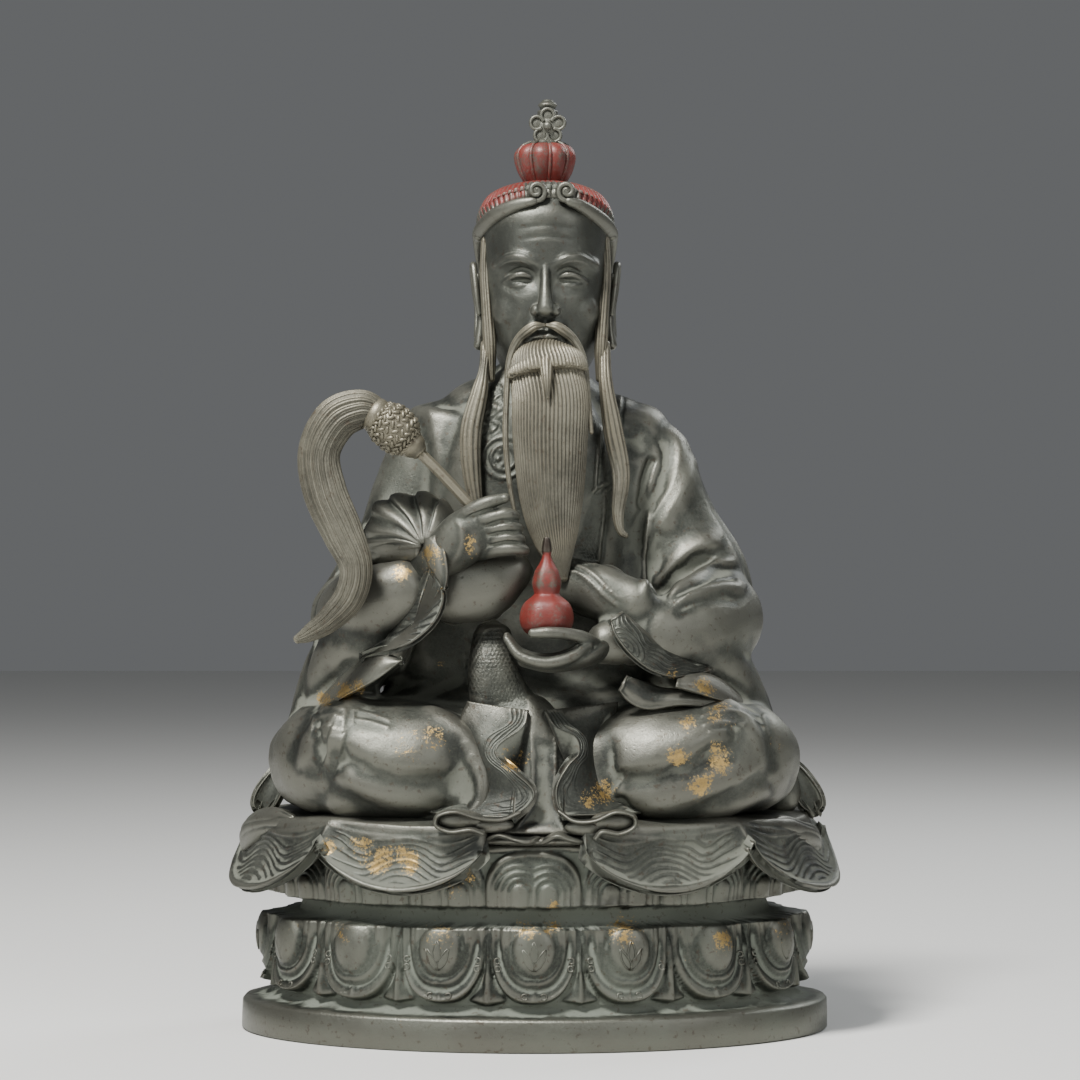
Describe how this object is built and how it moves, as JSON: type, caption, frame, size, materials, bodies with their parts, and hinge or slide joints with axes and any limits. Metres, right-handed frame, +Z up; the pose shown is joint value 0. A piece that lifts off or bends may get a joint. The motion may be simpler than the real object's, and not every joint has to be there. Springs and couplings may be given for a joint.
{
  "type": "laozi statue",
  "caption": "Cast bronze statue of a seated sage in a long robe on a double lotus pedestal, with a long beard, a hair whisk in the right hand and a red double gourd on the left palm",
  "frame": {"origin": "middle of the pedestal's flat underside, at the height that it stands on", "axes": "+Z up; the figure faces -Y; +X is to the right as seen from the front, the figure's own left"},
  "size_m": [0.2518, 0.1702, 0.3889],
  "materials": {
    "base_bronze": "dark olive bronze with grey-green dust in the hollows and worn gilding on the petals",
    "bronze": "dark semi-gloss bronze with grey-green patina in the folds, worn gilding and a little red lacquer on the hair",
    "hair_bronze": "dusty olive-beige bronze, dull, with dark grooves",
    "red_lacquer": "worn red lacquer over bronze, semi-gloss"
  },
  "bodies": {
    "root": {"lotus_pedestal": "base_bronze", "seated_figure": "bronze", "fly_whisk": "hair_bronze", "gourd": "red_lacquer"}
  },
  "joints": []
}
